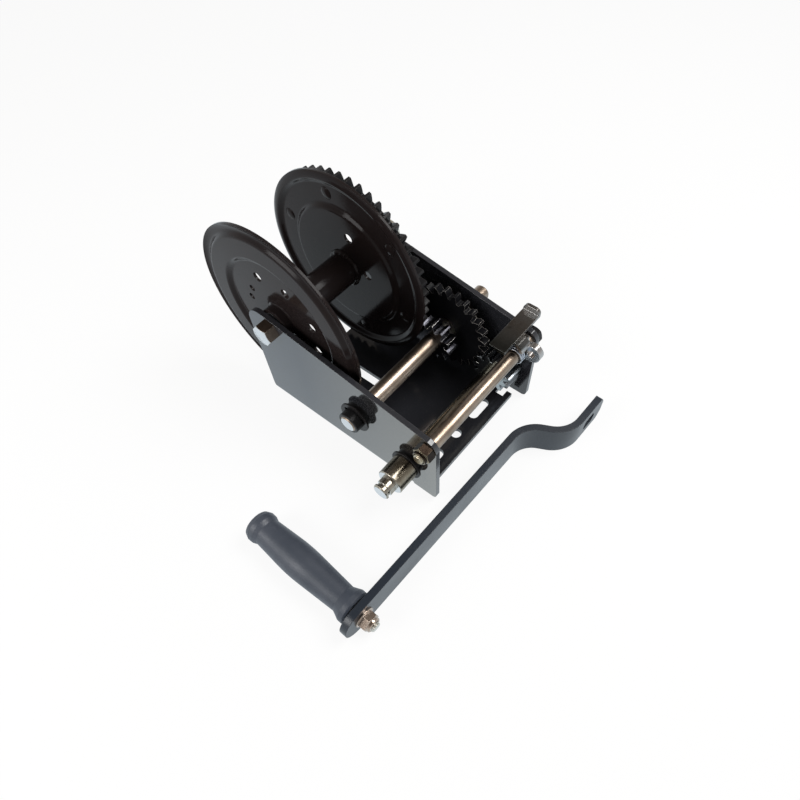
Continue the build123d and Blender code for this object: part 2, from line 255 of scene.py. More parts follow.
def new_group(name, takes, gives):
    group = bpy.data.node_groups.new(name, "ShaderNodeTree")
    for label, value in takes.items():
        is_color = isinstance(value, tuple)
        kind = COLOR if is_color else FLOAT
        socket = group.interface.new_socket(name=label, in_out="INPUT", socket_type=kind)
        socket.default_value = (*value, 1) if is_color else value
    for label in gives:
        kind = RESULTS.get(label, FLOAT)
        group.interface.new_socket(name=label, in_out="OUTPUT", socket_type=kind)
    print("group", name, "gives", ", ".join(gives))
    return group, node(group, "NodeGroupInput").outputs, node(group, "NodeGroupOutput").inputs


# %% [markdown]
# ### Sharp edges
# No real edge is perfectly sharp, and the tiny rounding is what catches light. Rounding every edge of the
# mesh would cost many faces. The Bevel node bends the shading normal near an edge without changing the
# mesh. Where that normal differs from the face's own one, there is an edge, and the difference is a mask
# for rubbed paint or bright metal, and on the smaller gear for painted glints. Noise breaks the mask up,
# since wear is never even.

# %% Group: edge line
edge_line, take, give = new_group("edge_line", {"Radius": 0.0006, "Breakup": 60.0}, ("Normal", "Edge"))
rounded = node(edge_line, "ShaderNodeBevel", samples=4)
feed(edge_line, rounded.inputs["Radius"], take["Radius"])
likeness = node(edge_line, "ShaderNodeVectorMath", operation="DOT_PRODUCT")
feed(edge_line, likeness.inputs[0], rounded.outputs[0])
feed(edge_line, likeness.inputs[1], node(edge_line, "ShaderNodeNewGeometry").outputs["True Normal"])
edge = span(edge_line, likeness.outputs["Value"], (0.99, 0.85))
patches = noise(edge_line, spot(edge_line), take["Breakup"], detail=4.0)
worn = span(edge_line, patches, (0.42, 0.62), (0.08, 1.0))
feed(edge_line, give["Normal"], rounded.outputs[0])
feed(edge_line, give["Edge"], times(edge_line, edge, worn, clamp=True))

# %% [markdown]
# ### Sprayed paint
# Spray paint dries with a faint orange-peel skin, a gloss that drifts from place to place, hairline rubs
# from handling, and a little dust on faces that look up. Photographs of paint could supply these, but
# noise at four scales needs no picture and no unwrapping. The group gives the colour, the roughness and a
# height for bump.

# %% Group: paint film
PEEL, DRIFT, RUBS, SPECKS = 520.0, 17.0, 130.0, 900.0
RUB_STRETCH = (1.0, 9.0, 9.0)
DRIFT_TONE, RUB_TONE, DUST_TONE = (0.022, 0.023, 0.026), (0.09, 0.09, 0.095), (0.35, 0.34, 0.32)
DRIFT_SHARE, RUB_SHARE, DUST_SHARE, EDGE_SHARE = 0.35, 0.12, 0.18, 0.8
DUST_DULLS, RUB_DEPTH = 0.25, 0.3
paint_film, take, give = new_group(
    "paint_film",
    {"Paint": (0.012, 0.012, 0.013), "Rubbed": (0.10, 0.10, 0.10), "Edge": 0.0, "Gloss Low": 0.2,
     "Gloss High": 0.34, "Dust": 0.5},
    ("Color", "Roughness", "Height"))
place = spot(paint_film)
peel = noise(paint_film, place, PEEL)
drift = noise(paint_film, place, DRIFT, detail=3.0)
rub = noise(paint_film, stretched(paint_film, place, RUB_STRETCH), RUBS, detail=3.0, rough=0.6)
hair = span(paint_film, rub, (0.66, 0.74))
upward = span(paint_film, facing(paint_film)["Z"], (0.75, 1.0))
specks = span(paint_film, noise(paint_film, place, SPECKS, rough=0.7), (0.6, 0.75))
dust = times(paint_film, times(paint_film, upward, specks), take["Dust"], clamp=True)
tone = blend(paint_film, span(paint_film, drift, (0.3, 0.7), (0.0, DRIFT_SHARE)), take["Paint"], DRIFT_TONE)
tone = blend(paint_film, times(paint_film, hair, RUB_SHARE), tone, RUB_TONE)
tone = blend(paint_film, times(paint_film, dust, DUST_SHARE), tone, DUST_TONE)
tone = blend(paint_film, times(paint_film, take["Edge"], EDGE_SHARE), tone, take["Rubbed"])
feed(paint_film, give["Color"], tone)
gloss = span(paint_film, drift, (0.25, 0.75), (take["Gloss Low"], take["Gloss High"]))
gloss = plus(paint_film, gloss, times(paint_film, dust, DUST_DULLS), clamp=True)
feed(paint_film, give["Roughness"], gloss)
feed(paint_film, give["Height"], calc(paint_film, "SUBTRACT", peel, times(paint_film, hair, RUB_DEPTH)))

# %% [markdown]
# ### Painted reflection on the side plate
# A big flat sheet is never one even grey. The outer face of the crank's side mirrors the room around it,
# bluish at the rear and warm at the front, and that reflection is painted into its colour here, only on
# that face. Its clear coat also grows from the rear to the front. Two materials on one plate would show a
# seam, so a mask along Y blends two tones instead. The group gives a colour and the weight of a clear coat.

# %% Group: painted reflection on the side plate
PLATE_FACES, PLATE_FROM, PLATE_TO = (-0.6, -0.95), -0.0765, -0.0775
REAR_Y, FRONT_Y, FRONT_SHARE = 0.05, -0.11, 0.9
PLATE_CLOUD, CLOUD_SHARE = 14.0, 0.1
side_painted_reflection, take, give = new_group(
    "side_painted_reflection",
    {"Color": (0.012, 0.012, 0.013), "Rear": (0.009, 0.015, 0.027), "Front": (0.035, 0.031, 0.026)},
    ("Color", "Coat"))
place = spot(side_painted_reflection)
at = xyz(side_painted_reflection, place)
side = span(side_painted_reflection, facing(side_painted_reflection)["X"], PLATE_FACES)
side = times(side_painted_reflection, side, span(side_painted_reflection, at["X"], (PLATE_FROM, PLATE_TO)))
along = span(side_painted_reflection, at["Y"], (REAR_Y, FRONT_Y), (0.0, FRONT_SHARE))
cloud = times(side_painted_reflection, noise(side_painted_reflection, place, PLATE_CLOUD), CLOUD_SHARE)
along = plus(side_painted_reflection, along, cloud, clamp=True)
# Bluish at the rear, warm at the front: a painted reflection on the plate's outer face.
tone = blend(side_painted_reflection, along, take["Rear"], take["Front"])
feed(side_painted_reflection, give["Color"], blend(side_painted_reflection, side, take["Color"], tone))
feed(side_painted_reflection, give["Coat"], times(side_painted_reflection, side, along))

# %% [markdown]
# ### Painted shade on the pawl
# The lever's blade stands over the gears, in their shade, and that shade is painted into its colour. The
# thumb keeps only its outer end bright. The blade could be split off as a piece of its own, but shade has
# no edge, so a mask does it: it runs along X, ends below the blade, and has a little noise in it.

# %% Group: painted shade on the pawl's blade
SHADED_X, LIT_X, LIT_SHARE = 0.036, 0.085, 0.45
BLADE_BOTTOM, HUB_TOP = 0.1015, 0.0995
SHADE_NOISE_SCALE, SHADE_NOISE_SHARE = 90.0, 0.15
painted_shade_blade, take, give = new_group(
    "painted_shade_blade", {"Color": (0.2, 0.2, 0.2), "Shade": (0.034, 0.036, 0.032)}, ("Color",))
place = spot(painted_shade_blade)
at = xyz(painted_shade_blade, place)
# Darker towards low X over the blade: painted shade from the gears beneath.
lit_part = span(painted_shade_blade, at["X"], (SHADED_X, LIT_X), (0.0, LIT_SHARE))
shade_noise = times(painted_shade_blade, noise(painted_shade_blade, place, SHADE_NOISE_SCALE, detail=3.0), SHADE_NOISE_SHARE)
lit_part = plus(painted_shade_blade, lit_part, shade_noise, clamp=True)
lit_part = calc(painted_shade_blade, "MAXIMUM", lit_part, span(painted_shade_blade, at["Z"], (BLADE_BOTTOM, HUB_TOP)))
feed(painted_shade_blade, give["Color"], blend(painted_shade_blade, lit_part, take["Shade"], take["Color"]))

# %% [markdown]
# ### Plated steel
# Zinc plating is bright and a little cloudy, with a yellow cast where its passivation is thicker. Turned
# pieces also carry fine rings round the shaft, which spread the reflections. Anisotropy could do that,
# but needs a tangent on every piece, while rings along X are just noise squeezed along X. Faces that look
# along X take their own End colour with no cast. On sawn shaft ends that is bare steel; where End is set
# much paler than the rest, as on the axle bolt, the tie's nut and the drive pinion, it is a painted
# highlight on those end faces.

# %% Group: plated steel
CLOUDS, FINE, RINGS, STAINS = 45.0, 420.0, 1500.0, 160.0
RING_STRETCH = (1.0, 0.02, 0.02)
RING_SHARE, RUBBED_SHARE, FINE_DEPTH = 0.35, 0.7, 0.35
CLOUD_GLOSS, FINE_GLOSS = 0.6, 0.4
plated_steel, take, give = new_group(
    "plated_steel",
    {"Bright": (0.72, 0.68, 0.6), "Cast": (0.5, 0.4, 0.26), "Stain": (0.1, 0.08, 0.06),
     "Rubbed": (0.85, 0.82, 0.76), "End": (0.74, 0.76, 0.78), "Edge": 0.0, "Rings": 1.0, "Gloss Low": 0.12,
     "Gloss High": 0.3},
    ("Color", "Roughness", "Height"))
place = spot(plated_steel)
endways = calc(plated_steel, "ABSOLUTE", facing(plated_steel)["X"])
# Faces along X: bare sawn ends, and painted highlight where End is much paler than the rest.
end_faces = span(plated_steel, endways, (0.75, 0.95), (0.0, 0.9))
cloud = noise(plated_steel, place, CLOUDS, detail=4.0, rough=0.6)
fine = noise(plated_steel, place, FINE, rough=0.6)
ring = noise(plated_steel, stretched(plated_steel, place, RING_STRETCH), RINGS, rough=0.7)
ring = times(plated_steel, ring, take["Rings"])
stain = noise(plated_steel, place, STAINS, detail=4.0, rough=0.7)
stain = span(plated_steel, stain, (0.6, 0.72), (0.0, 0.55))
tone = blend(plated_steel, span(plated_steel, cloud, (0.35, 0.65)), take["Bright"], take["Cast"])
tone = blend(plated_steel, stain, tone, take["Stain"])
tone = blend(plated_steel, times(plated_steel, ring, RING_SHARE), tone, take["Cast"])
tone = blend(plated_steel, end_faces, tone, take["End"])
tone = blend(plated_steel, times(plated_steel, take["Edge"], RUBBED_SHARE), tone, take["Rubbed"])
feed(plated_steel, give["Color"], tone)
gloss = plus(plated_steel, times(plated_steel, cloud, CLOUD_GLOSS), times(plated_steel, fine, FINE_GLOSS))
gloss = span(plated_steel, gloss, (0.3, 0.7), (take["Gloss Low"], take["Gloss High"]))
feed(plated_steel, give["Roughness"], gloss)
feed(plated_steel, give["Height"], plus(plated_steel, ring, times(plated_steel, fine, FINE_DEPTH)))

# %% [markdown]
# ### Moulded plastic
# The grip comes out of a spark-eroded mould, which leaves a fine leathery grain. Real dimples in the mesh
# would take millions of faces, so a cell pattern gives the grain as bump, and slow noise gives the greasy
# patches where a hand holds it.

# %% Group: moulded grain
PATCHES = 28.0
moulded_grain, take, give = new_group(
    "moulded_grain",
    {"Plastic": (0.042, 0.051, 0.069), "Worn": (0.072, 0.081, 0.102), "Grain": 900.0, "Gloss Low": 0.38,
     "Gloss High": 0.55},
    ("Color", "Roughness", "Height"))
place = spot(moulded_grain)
cells = node(moulded_grain, "ShaderNodeTexVoronoi", feature="SMOOTH_F1")
feed(moulded_grain, cells.inputs["Vector"], place)
feed(moulded_grain, cells.inputs["Scale"], take["Grain"])
patches = noise(moulded_grain, place, PATCHES, detail=3.0)
greasy = span(moulded_grain, patches, (0.4, 0.7), (0.0, 0.8))
feed(moulded_grain, give["Color"], blend(moulded_grain, greasy, take["Plastic"], take["Worn"]))
gloss = span(moulded_grain, patches, (0.3, 0.7), (take["Gloss High"], take["Gloss Low"]))
feed(moulded_grain, give["Roughness"], gloss)
feed(moulded_grain, give["Height"], cells.outputs["Distance"])

# %% [markdown]
# ## The finishes
# Each finish is one Principled shader. Values that are the same all over sit on its sockets, and the
# groups feed what varies. The bump is built on the rounded edge normal, so edges and grain work together.
# Some pieces also wear an overlay, a second group between the finish and the shader.

# %% Material maker
EDGE = 0.0006


def finish(name, group, look, bump, depth, edge=EDGE, **constants):
    material = bpy.data.materials.new(name)
    material.use_nodes = True
    tree = material.node_tree
    shader = tree.nodes["Principled BSDF"]
    for label, value in constants.items():
        feed(tree, shader.inputs[label.replace("_", " ")], value)
    line = node(tree, "ShaderNodeGroup", node_tree=edge_line)
    feed(tree, line.inputs["Radius"], edge)
    skin = node(tree, "ShaderNodeGroup", node_tree=group)
    for label, value in look.items():
        feed(tree, skin.inputs[label], value)
    if "Edge" in skin.inputs:
        feed(tree, skin.inputs["Edge"], line.outputs["Edge"])
    relief = node(tree, "ShaderNodeBump")
    feed(tree, relief.inputs["Strength"], bump)
    feed(tree, relief.inputs["Distance"], depth)
    feed(tree, relief.inputs["Height"], skin.outputs["Height"])
    feed(tree, relief.inputs["Normal"], line.outputs["Normal"])
    feed(tree, shader.inputs["Normal"], relief.outputs[0])
    feed(tree, shader.inputs["Base Color"], skin.outputs["Color"])
    feed(tree, shader.inputs["Roughness"], skin.outputs["Roughness"])
    return material


# %% Overlay, and a coat of a finish on the solids
def overlay(material, group):
    tree = material.node_tree
    shader = tree.nodes["Principled BSDF"]
    layer = node(tree, "ShaderNodeGroup", node_tree=group)
    feed(tree, layer.inputs["Color"], shader.inputs["Base Color"].links[0].from_socket)
    feed(tree, shader.inputs["Base Color"], layer.outputs["Color"])
    if "Coat" in layer.outputs:
        feed(tree, shader.inputs["Coat Weight"], layer.outputs["Coat"])


def paint(material, *node_names):
    for name in node_names:
        mesh = nodes[name].data
        mesh.materials.clear()
        mesh.materials.append(material)
    print(material.name, "on", ", ".join(node_names))


# %% [markdown]
# ### Black paint on the frame
# The frame is one bent sheet, sprayed gloss black. Its gloss makes it a dim mirror of the white floor,
# which is why a black plate looks grey from above. A grey paint would look grey from every side, so the
# paint stays dark and the specular level is raised instead. The outer side plate also gets a painted
# reflection in its colour, bluish at the rear and warm at the front, and a clear coat that grows towards
# the front.

# %% Frame
PAINT_DEPTH = 0.0004


def painted(name, tone, gloss, dust, bump, rubbed_and_glint=(0.10, 0.10, 0.10), edge=EDGE, **constants):
    look = {"Paint": tone, "Rubbed": rubbed_and_glint, "Gloss Low": gloss[0], "Gloss High": gloss[1], "Dust": dust}
    return finish(name, paint_film, look, bump, PAINT_DEPTH, edge, **constants)


frame_black = painted(
    "frame_black", (0.026, 0.027, 0.032), gloss=(0.06, 0.12), dust=0.4, bump=0.06, Specular_IOR_Level=0.72,
    Coat_Roughness=0.05, Coat_IOR=1.75, Coat_Tint=(1, 0.96, 0.88))
# The outer side plate gets its painted reflection and its clear coat.
overlay(frame_black, side_painted_reflection)
paint(frame_black, "frame")

# %% [markdown]
# ### Drum and gears
# The drum's flanges are stamped discs in a brown-black, whose brown tint is in part a painted reflection
# of the warm room. The big gear and the clips are black too, and dull. On the smaller gear, meshing has
# polished the tooth corners, and its rubbed colour is a near-white on dull paint: bare steel and painted
# glints on those corners together. The edge mask puts that colour on the corners alone, with no second
# material.

# %% Drum and gears
# The brown tint of this black is in part a painted reflection of the warm room.
drum_black = painted(
    "drum_black", (0.015, 0.010, 0.009), gloss=(0.08, 0.16), dust=0.2, bump=0.08,
    rubbed_and_glint=(0.018, 0.014, 0.013), Specular_IOR_Level=0.1)
gear_black = painted(
    "gear_black", (0.009, 0.008, 0.008), gloss=(0.2, 0.34), dust=0.1, bump=0.2,
    rubbed_and_glint=(0.05, 0.045, 0.04), edge=0.0010, Specular_IOR_Level=0.12)
# Near-white rubbed colour on the tooth corners: wear and painted glints together.
worn_glinting_gear_black = painted(
    "worn_glinting_gear_black", (0.005, 0.005, 0.006), gloss=(0.14, 0.26), dust=0.1, bump=0.2,
    rubbed_and_glint=(0.7, 0.67, 0.62), Specular_IOR_Level=0.05)
paint(drum_black, "drum_flange_left", "drum_flange_right", "drum_core", "gear_rivets")
paint(gear_black, "drum_gear", "intermediate_clips", "drive_clips")
paint(worn_glinting_gear_black, "intermediate_gear")

# %% [markdown]
# ### Crank arm
# The crank is flat bar in a duller, bluer black, with a thin clear coat. The same paint film serves, with
# rougher gloss values.

# %% Crank arm
crank_black = painted(
    "crank_black", (0.014, 0.021, 0.032), gloss=(0.26, 0.4), dust=0.3, bump=0.18,
    rubbed_and_glint=(0.075, 0.08, 0.09), edge=0.0009, Specular_IOR_Level=0.45, Coat_Weight=0.08, Coat_Roughness=0.25)
paint(crank_black, "crank_arm")

# %% [markdown]
# ### Grip and bushes
# The grip is a hard plastic tube, turned in the hand thousands of times: charcoal with a blue tinge,
# dull, finely grained. The bushes and the collar at the end of the middle shaft are black plastic from
# the same kind of mould.

# %% Grip and bushes
GRAIN_DEPTH = 0.0003


def moulded(name, plastic, worn, gloss, bump, edge=EDGE, **constants):
    look = {"Plastic": plastic, "Worn": worn, "Gloss Low": gloss[0], "Gloss High": gloss[1]}
    return finish(name, moulded_grain, look, bump, GRAIN_DEPTH, edge, **constants)


grip_plastic = moulded(
    "grip_plastic", (0.042, 0.051, 0.069), (0.072, 0.081, 0.102), gloss=(0.38, 0.55), bump=0.3, edge=0.001)
bush_black = moulded(
    "bush_black", (0.006, 0.006, 0.007), (0.014, 0.014, 0.015), gloss=(0.3, 0.45), bump=0.1,
    Specular_IOR_Level=0.25)
paint(grip_plastic, "grip")
paint(bush_black, "shaft_bushes", "drum_bushes", "intermediate_end_collar")

# %% [markdown]
# ### Zinc on the shafts
# The shafts are turned bar with yellow zinc, so they look golden where they reflect the dim room and
# cream where they reflect the lamp. A metal's colour is the colour of its reflections, so two browns, a
# bright one and a darker cast, are enough.

# %% Shafts
METAL_DEPTH = 0.0002


def plated(name, bright, cast, gloss, bump, rings=0.0, depth=METAL_DEPTH, edge=EDGE, **tones):
    look = {"Bright": bright, "Cast": cast, "Rings": rings, "Gloss Low": gloss[0], "Gloss High": gloss[1]}
    return finish(name, plated_steel, {**look, **tones}, bump, depth, edge, Metallic=1.0)


shaft_zinc = plated(
    "shaft_zinc", (0.455, 0.375, 0.303), (0.26, 0.202, 0.155), gloss=(0.22, 0.4), bump=0.15, rings=1.0)
sleeve_zinc = plated(
    "sleeve_zinc", (0.44, 0.40, 0.33), (0.22, 0.19, 0.14), gloss=(0.16, 0.3), bump=0.15, rings=1.0)
paint(shaft_zinc, "tie_spacer", "intermediate_shaft")
paint(sleeve_zinc, "drive_shaft", "drive_sleeve")

# %% [markdown]
# ### Bolts and nuts
# Small hardware is plated in a barrel: no rings, more cloud. It is bought in batches, so each piece here
# has its own tone, from pale zinc on the washers to a copper tinge on the grip's nut. The tie's nut is a
# near-black bronze, painted shade on its flats, with a pale End colour as painted highlight on its end
# faces. The axle bolt's pale default End is likewise a painted highlight on its end faces.

# %% Bolts and nuts
hardware_zinc = plated(
    "hardware_zinc", (0.70, 0.69, 0.64), (0.46, 0.42, 0.34), gloss=(0.2, 0.38), bump=0.25)
# The axle bolt keeps the pale default End: painted highlight on its end faces.
axle_zinc = plated(
    "axle_zinc", (0.32, 0.25, 0.20), (0.17, 0.13, 0.10), gloss=(0.2, 0.38), bump=0.25,
    Stain=(0.05, 0.04, 0.03))
tie_zinc = plated(
    "tie_zinc", (0.60, 0.53, 0.40), (0.34, 0.28, 0.18), gloss=(0.1, 0.25), bump=0.9, depth=0.0004,
    End=(0.55, 0.49, 0.37))
# Near-black flats are painted shade; the pale End is painted highlight on the nut's end faces.
nut_bronze_painted_shade = plated(
    "nut_bronze_painted_shade", (0.026, 0.018, 0.013), (0.012, 0.008, 0.006), gloss=(0.18, 0.34), bump=0.5, depth=0.0003,
    Stain=(0.006, 0.005, 0.004), Rubbed=(0.30, 0.25, 0.17), End=(0.30, 0.25, 0.17))
nut_copper = plated(
    "nut_copper", (0.56, 0.45, 0.37), (0.30, 0.23, 0.18), gloss=(0.12, 0.26), bump=0.2,
    End=(0.50, 0.41, 0.34))
paint(hardware_zinc, "tie_bolt", "tie_nut", "drum_axle_bolt", "drum_axle_washer", "drum_axle_nut",
      "drum_axle_spacer", "intermediate_collar", "grip_bolt", "grip_nut", "grip_washer")

# %% [markdown]
# ### Pinions, pawl and spring
# The pinions are two copies of one oiled steel with bright tooth corners: the one that meets the drum gear
# is a darker copy, painted shade, and the drive pinion is a lighter, bluish copy, painted highlight. The
# pawl is pressed from plated sheet, with painted shade on its blade laid over the finish, and its spring
# is plain drawn wire.

# %% Pinions, pawl and spring
# Darker copy of the pinion steel: painted shade.
pinion_steel_painted_shade = plated(
    "pinion_steel_painted_shade", (0.10, 0.10, 0.115), (0.04, 0.04, 0.045), gloss=(0.14, 0.3), bump=0.2, edge=0.0007,
    Stain=(0.02, 0.02, 0.02), End=(0.09, 0.09, 0.10))
# Lighter, bluish copy of the pinion steel with a pale End: painted highlight.
drive_steel_painted_highlight = plated(
    "drive_steel_painted_highlight", (0.27, 0.29, 0.31), (0.12, 0.13, 0.14), gloss=(0.14, 0.28), bump=0.2, edge=0.0007,
    Stain=(0.03, 0.03, 0.03), End=(0.42, 0.46, 0.47))
pawl_plate = plated(
    "pawl_plate", (0.44, 0.43, 0.42), (0.27, 0.22, 0.19), gloss=(0.16, 0.3), bump=0.25, edge=0.0008,
    Stain=(0.09, 0.07, 0.06), Rubbed=(0.75, 0.72, 0.68))
bright_steel = plated(
    "bright_steel", (0.44, 0.47, 0.53), (0.24, 0.26, 0.30), gloss=(0.16, 0.28), bump=0.1)
# The pawl's blade gets painted shade over its finish.
overlay(pawl_plate, painted_shade_blade)
paint(pinion_steel_painted_shade, "intermediate_pinion")
paint(drive_steel_painted_highlight, "drive_pinion")
paint(pawl_plate, "pawl_lever")
paint(bright_steel, "pawl_spring")

# %% [markdown]
# ## Finer hardware
# The solids stop at plain hexagons and plain rods. Real nuts have their corners turned off at 30 degrees,
# and real bolts have threads. Most of these are turned shapes, so one tool makes them. Spinning a profile
# would work too, but a disc whose cap is extruded along X and scaled, step by step, is closed from the
# start and reads as a lathe works.

# %% Tools: begin, keep, modify, clean up
SAME_POINT, SCREW_SEAM = 1e-7, 1e-6


def begin():
    bpy.ops.object.select_all(action="DESELECT")


def keep(name):
    piece = bpy.context.object
    piece.name = name
    piece.data.name = name
    return piece


def edit_all():
    bpy.ops.object.mode_set(mode="EDIT")
    bpy.ops.mesh.select_all(action="SELECT")


def back_to_object():
    bpy.ops.object.mode_set(mode="OBJECT")


def modify(piece, kind, **values):
    bpy.context.view_layer.objects.active = piece
    bpy.ops.object.modifier_add(type=kind)
    modifier = piece.modifiers[-1]
    for label, value in values.items():
        setattr(modifier, label, value)
    bpy.ops.object.modifier_apply(modifier=modifier.name)


def clean_up():
    bpy.ops.mesh.select_all(action="SELECT")
    bpy.ops.mesh.remove_doubles(threshold=SAME_POINT)
    bpy.ops.mesh.normals_make_consistent(inside=False)
    back_to_object()


# %% Tools: turn on a lathe, cut one piece by another
def turned(name, steps, sides=72):
    begin()
    x, r = steps[0]
    bpy.ops.mesh.primitive_circle_add(vertices=sides, radius=r, fill_type="NGON", rotation=(0, pi / 2, 0))
    bpy.ops.object.transform_apply(location=True, rotation=True, scale=True)
    piece = keep(name)
    edit_all()
    bpy.ops.transform.translate(value=(x, 0, 0))
    for next_x, next_r in steps[1:]:
        bpy.ops.mesh.extrude_region_move(TRANSFORM_OT_translate={"value": (next_x - x, 0, 0)})
        ratio = next_r / r
        bpy.ops.transform.resize(value=(1, ratio, ratio), center_override=(next_x, 0, 0))
        x, r = next_x, next_r
    clean_up()
    return piece


def cut(piece, other, operation):
    modify(piece, "BOOLEAN", object=other, operation=operation, solver="EXACT")
    bpy.data.objects.remove(other, do_unlink=True)


# %% [markdown]
# A hexagon is a cylinder with six sides. A bevel would cut its corners straight. Cutting it down to what
# it shares with a coned blank leaves the curved facets that every nut has on its corners.

# %% Tool: hexagon with turned corners
CHAMFER = tan(radians(30))
FACE_SHARE, BLANK_SHARE = 0.475, 1.03


def hexagon(name, flats, x0, x1, turn, both_ends):
    begin()
    corner = flats / sqrt(3)
    bpy.ops.mesh.primitive_cylinder_add(
        vertices=6, radius=corner, depth=x1 - x0, location=((x0 + x1) / 2, 0, 0), rotation=(0, pi / 2, 0))
    bpy.ops.object.transform_apply(location=True, rotation=True, scale=True)
    piece = keep(name)
    edit_all()
    bpy.ops.transform.rotate(value=-radians(turn), orient_axis="X", center_override=(0, 0, 0))
    back_to_object()
    face, wide = FACE_SHARE * flats, BLANK_SHARE * corner
    slope = (wide - face) * CHAMFER
    steps = [(x0, face), (x0 + slope, wide), (x1 - slope, wide), (x1, face)]
    if not both_ends:
        steps[2:] = [(x1, wide)]
    cut(piece, turned("blank", steps), "INTERSECT")
    return piece


# %% [markdown]
# A thread is a small triangle that travels round the bolt while it moves along it. Rings would look alike
# from afar, but the Screw modifier does exactly what a die does. The ends are then cut square.

# %% Tool: threaded rod
THREAD_DEPTH, SPARE_TURNS, THREAD_STEPS = 0.6, 2, 40
TRIANGLE_HEIGHT = 1.5


def thread(name, radius, pitch, x0, x1):
    begin()
    depth = THREAD_DEPTH * pitch
    scale = depth / TRIANGLE_HEIGHT
    bpy.ops.mesh.primitive_circle_add(vertices=3, radius=1.0)
    piece = keep(name)
    edit_all()
    bpy.ops.transform.resize(value=(pitch / sqrt(3), scale, 1), center_override=(0, 0, 0))
    bpy.ops.transform.translate(value=(x0 - SPARE_TURNS * pitch, radius - scale, 0))
    bpy.ops.mesh.select_all(action="DESELECT")
    back_to_object()
    for v in piece.data.vertices:
        v.select = v.co.y < radius - depth / 2
    bpy.ops.object.mode_set(mode="EDIT")
    bpy.ops.mesh.delete(type="EDGE")
    back_to_object()
    turns = int((x1 - x0) / pitch) + 2 * SPARE_TURNS
    modify(piece, "SCREW", axis="X", screw_offset=pitch, iterations=turns, steps=THREAD_STEPS,
           render_steps=THREAD_STEPS, use_merge_vertices=True, merge_threshold=SCREW_SEAM)
    bpy.ops.object.mode_set(mode="EDIT")
    for x, way in ((x0, -1), (x1, 1)):
        bpy.ops.mesh.select_all(action="SELECT")
        bpy.ops.mesh.remove_doubles(threshold=SCREW_SEAM)
        bpy.ops.mesh.select_all(action="SELECT")
        bpy.ops.mesh.bisect(plane_co=(x, 0, 0), plane_no=(way, 0, 0), use_fill=True, clear_outer=True,
                            threshold=SCREW_SEAM)
    clean_up()
    return piece


# %% [markdown]
# ### Seating a piece
# Every piece is made along X from the origin, then taken to its place, and its place is written into the
# mesh, as it is in the solids. The place could stay on the object instead, but a pattern on Object
# coordinates would then shift when the model is exported. It rides the body of the solid that it stands
# in for, so it moves with the same joint.

# %% Tools: measure a solid, seat a piece, hand it over
SMOOTH_BELOW = radians(32)


def box_of(name):
    points = [v.co for v in nodes[name].data.vertices]
    low = Vector([min(point[i] for point in points) for i in range(3)])
    high = Vector([max(point[i] for point in points) for i in range(3)])
    return low, high


def middle_of(name):
    low, high = box_of(name)
    return (low + high) / 2


def choose(*things):
    begin()
    for thing in things:
        thing.select_set(True)
    bpy.context.view_layer.objects.active = things[0]


def seat(piece, place, turn=0.0):
    piece.location = place
    piece.rotation_euler = (0, 0, turn)
    choose(piece)
    bpy.ops.object.transform_apply(location=True, rotation=True, scale=True)


def hand_over(piece, node_name, body, material):
    choose(piece)
    bpy.ops.object.shade_smooth_by_angle(angle=SMOOTH_BELOW)
    piece.data.materials.clear()
    piece.data.materials.append(material)
    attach(piece, body)
    if node_name:
        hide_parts(node_name)
    print(piece.name, "for", node_name, len(piece.data.polygons), "faces")


# %% [markdown]
# ### A whole bolt, a whole nut
# A bolt is a head, a plain shank and a thread. They lap a little and are joined as one piece, which is
# quicker and safer than a Boolean union of a fine thread. A coned blank first takes the sharp corner off
# the tip. A nut is a hexagon with a countersunk hole, and a lock nut has a round collar too, which a
# union adds.

# %% Tools: whole bolt, whole nut
SLACK, LAP, TIP_CONE, TIP_SHARE, LIP = 0.0001, 0.001, 0.001, 0.9, 0.0006
COLLAR_WIDE = 0.45
COLLAR_SHAPE = ((0.0, 0.82), (0.15, 0.92), (0.4, 0.98), (1.2, 1.0))


def bolt(name, head, radius, pitch, shank_to, tip):
    rod = turned("shank", [(LAP, radius - SLACK), (shank_to, radius - SLACK)])
    screw = thread("screw", radius, pitch, shank_to - LAP / 2, tip)
    core = radius - THREAD_DEPTH * pitch
    steps = [(shank_to - LAP, radius), (tip - TIP_CONE, radius), (tip, core), (tip + LAP, core * TIP_SHARE)]
    cut(screw, turned("blank", steps), "INTERSECT")
    choose(head, rod, screw)
    bpy.ops.object.join()
    return keep(name)


def nut(name, flats, height, radius, turn, collar=0.0):
    piece = hexagon(name, flats, collar, height, turn, both_ends=True)
    if collar:
        wide = COLLAR_WIDE * flats
        steps = [(along * collar, across * wide) for along, across in COLLAR_SHAPE]
        cut(piece, turned("collar", steps), "UNION")
    mouth = radius + LAP + LIP
    hole = [(-LAP, mouth), (LIP, radius), (height - LIP, radius), (height + LAP, mouth)]
    cut(piece, turned("hole", hole), "DIFFERENCE")
    return piece


# %% [markdown]
# ### Axle bolt
# The drum turns on a long M12 bolt with a coarse thread at its far end. Its length is read from the
# solid, and its hexagons are turned as far as in the solids.

